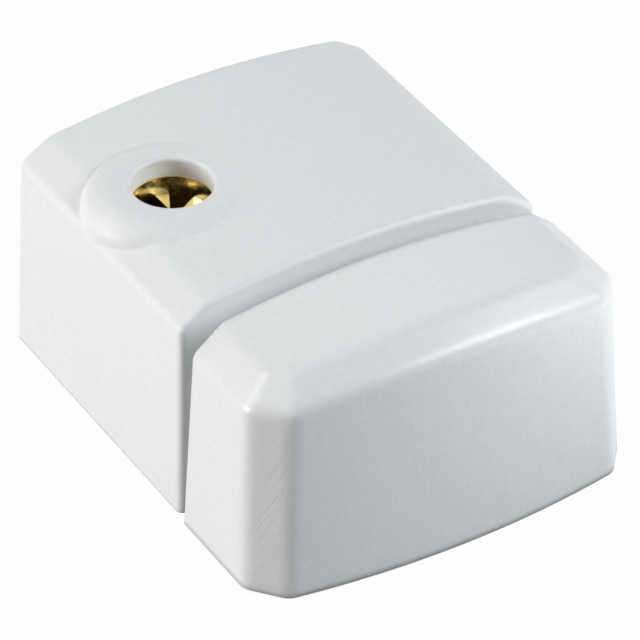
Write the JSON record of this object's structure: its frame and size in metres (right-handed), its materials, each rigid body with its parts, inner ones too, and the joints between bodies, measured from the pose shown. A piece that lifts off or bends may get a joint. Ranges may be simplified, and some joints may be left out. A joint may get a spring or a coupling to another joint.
{
  "type": "window lock",
  "caption": "White key-operated window lock: arched cast housing with a recessed brass key spindle, and a matching block across a narrow gap that slides out as the bolt.",
  "frame": {"origin": "centre of the bounding box on the mounting plane, under housing and bolt together, with the bolt drawn in", "axes": "+X across the lock, to the right seen from the bolt end; -Y from the housing towards the bolt; +Z away from the window"},
  "size_m": [0.049, 0.0586, 0.0282],
  "materials": {
    "white_coat": "satin white powder coat on a zinc casting",
    "brass": "turned, bright on the lugs, toned in the recess",
    "steel": "zinc plated",
    "grey_plastic": "moulded, matt",
    "black_rubber": "matt"
  },
  "bodies": {
    "case": {"housing": "white_coat", "base_plate": "steel", "guide_left": "steel", "guide_right": "steel", "guide_rivets": "steel", "bar_bezel": "grey_plastic", "bar_stop_pin": "steel", "friction_spring": "steel", "spring_rivet": "steel", "end_buffer": "black_rubber", "key_bush": "brass", "cam_stop_pin": "steel", "housing_screws": "steel"},
    "bolt": {"bolt_head": "white_coat", "slide_bar": "steel", "bar_screws": "steel", "bolt_pad": "grey_plastic"},
    "key": {"key_spindle": "brass", "lock_cam": "steel", "cam_clip": "steel", "spindle_seal": "black_rubber"}
  },
  "joints": [
    {"name": "bolt_slide", "type": "slide", "parent": "case", "child": "bolt", "axis": [0, -1, 0], "range_m": [0, 0.014]},
    {"name": "key_turn", "type": "hinge", "parent": "case", "child": "key", "pos_m": [-0.01246, 0.01222, 0.012], "axis": [0, 0, 1], "range_deg": [0, 90]}
  ]
}
